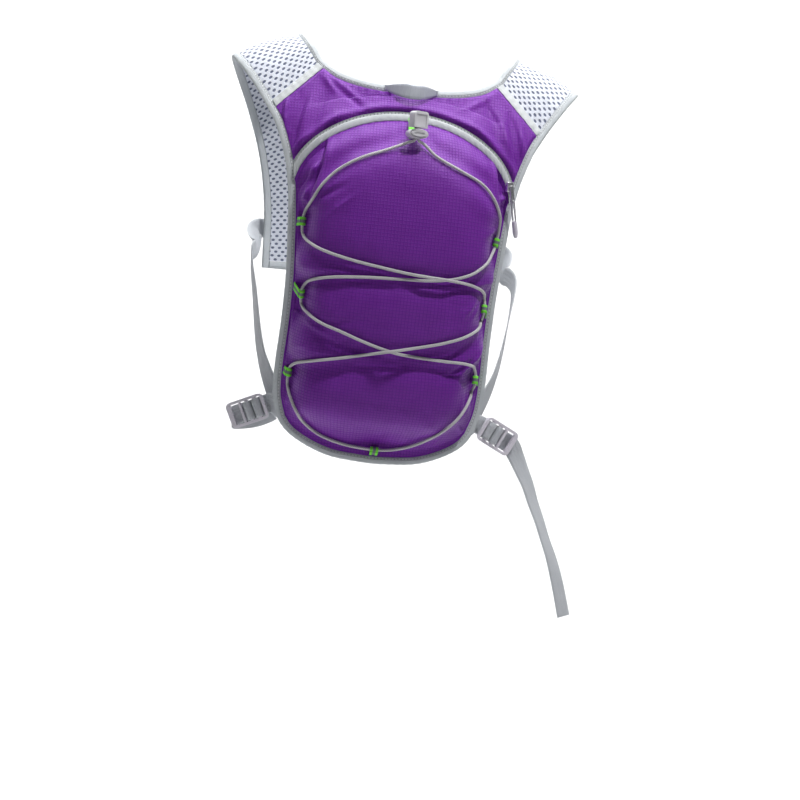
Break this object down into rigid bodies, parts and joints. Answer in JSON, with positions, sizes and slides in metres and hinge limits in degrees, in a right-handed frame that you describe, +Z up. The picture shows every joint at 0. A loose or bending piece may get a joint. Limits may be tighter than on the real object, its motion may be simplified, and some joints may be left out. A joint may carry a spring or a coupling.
{
  "type": "running hydration vest",
  "caption": "Running hydration vest with a domed back pocket laced by a bungee cord, mesh shoulder yokes, webbing side straps with ladder buckles, a haul loop and a hidden chest clasp.",
  "frame": {"origin": "level with the highest line of the two shoulder yokes, midway between them, above the middle of the wearer's chest from front to back", "axes": "+Z up, -Y out of the wearer's back towards the pocket, +X to the wearer's right"},
  "size_m": [0.4027, 0.2647, 0.5677],
  "materials": {
    "ripstop": "light ripstop nylon",
    "spacer": "spacer mesh",
    "air_mesh": "open air mesh",
    "binding": "woven tape",
    "satin": "satin tape",
    "webbing": "woven webbing",
    "neon": "woven ribbon",
    "cord": "braided sheath",
    "lock": "satin moulded plastic",
    "buckle": "gloss moulded plastic",
    "zip_metal": "satin"
  },
  "bodies": {
    "vest": {"back_panel": "spacer", "upper_panel": "ripstop", "zip_tape": "satin", "pocket_shell": "ripstop", "neck_binding": "binding", "edge_binding": "binding", "haul_loop": "satin", "cord_lock_body": "lock", "cord_end": "lock", "cord_anchor_top": "neon", "bungee_cord": "cord", "cord_loop_upper_left": "neon", "cord_loop_middle_right": "neon", "cord_loop_lower_left": "neon", "cord_loop_bottom": "neon", "cord_loop_lower_right": "neon", "cord_loop_middle_left": "neon", "cord_loop_upper_right": "neon", "sternum_clasp": "buckle", "zip_slider": "zip_metal", "zip_pull_tab": "zip_metal", "zip_pull_cord": "cord", "zip_pull_tip": "lock", "shoulder_mesh_right": "air_mesh", "seam_ribbon_right": "binding", "front_end_binding_right": "binding", "side_strap_right": "webbing", "ladder_buckle_right": "buckle", "buckle_stub_right": "webbing", "adjuster_strap_right": "webbing", "sternum_strap_right": "webbing", "shoulder_mesh_left": "air_mesh", "seam_ribbon_left": "binding", "front_end_binding_left": "binding", "side_strap_left": "webbing", "ladder_buckle_left": "buckle", "buckle_stub_left": "webbing", "adjuster_strap_left": "webbing", "sternum_strap_left": "webbing"},
    "lock_button": {"cord_lock_button": "lock"}
  },
  "joints": [
    {"name": "lock_button_press", "type": "slide", "parent": "vest", "child": "lock_button", "axis": [-0.1736, 0.9848, 0], "range_m": [0, 0.0025], "stiffness_N_per_m": 400, "springref_m": -0.002}
  ]
}
